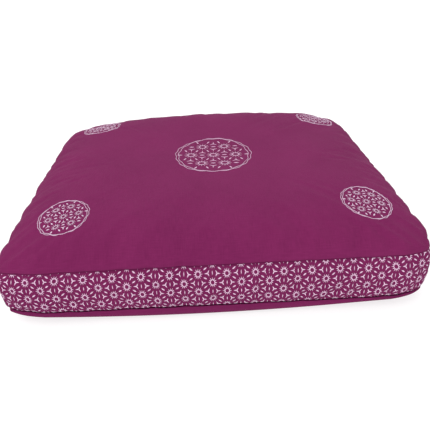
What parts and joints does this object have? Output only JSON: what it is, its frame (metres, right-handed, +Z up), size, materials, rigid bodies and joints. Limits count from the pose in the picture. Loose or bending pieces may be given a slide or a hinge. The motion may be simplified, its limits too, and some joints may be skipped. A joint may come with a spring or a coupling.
{
  "type": "zabuton",
  "caption": "Boxed floor cushion, a little wider than deep, stuffed full, with a crowned plain top, a printed side band and a plain underside.",
  "frame": {"origin": "on the floor, under the middle of the cushion", "axes": "+Z up out of the crowned top panel, +X to the right along the front edge, which is the longer side, +Y away from the front edge"},
  "size_m": [0.664, 0.566, 0.1562],
  "materials": {
    "plum_cloth": "fine plain-weave cotton, plum, matt",
    "printed_cloth": "the same plum cotton with a pale lilac all-over star print, matt",
    "lilac_print": "pale lilac printing ink on cotton, matt",
    "lilac_thread": "pale lilac embroidery thread, slightly glossy"
  },
  "bodies": {
    "root": {"top_panel": "plum_cloth", "side_band": "printed_cloth", "bottom_panel": "plum_cloth"}
  },
  "joints": []
}
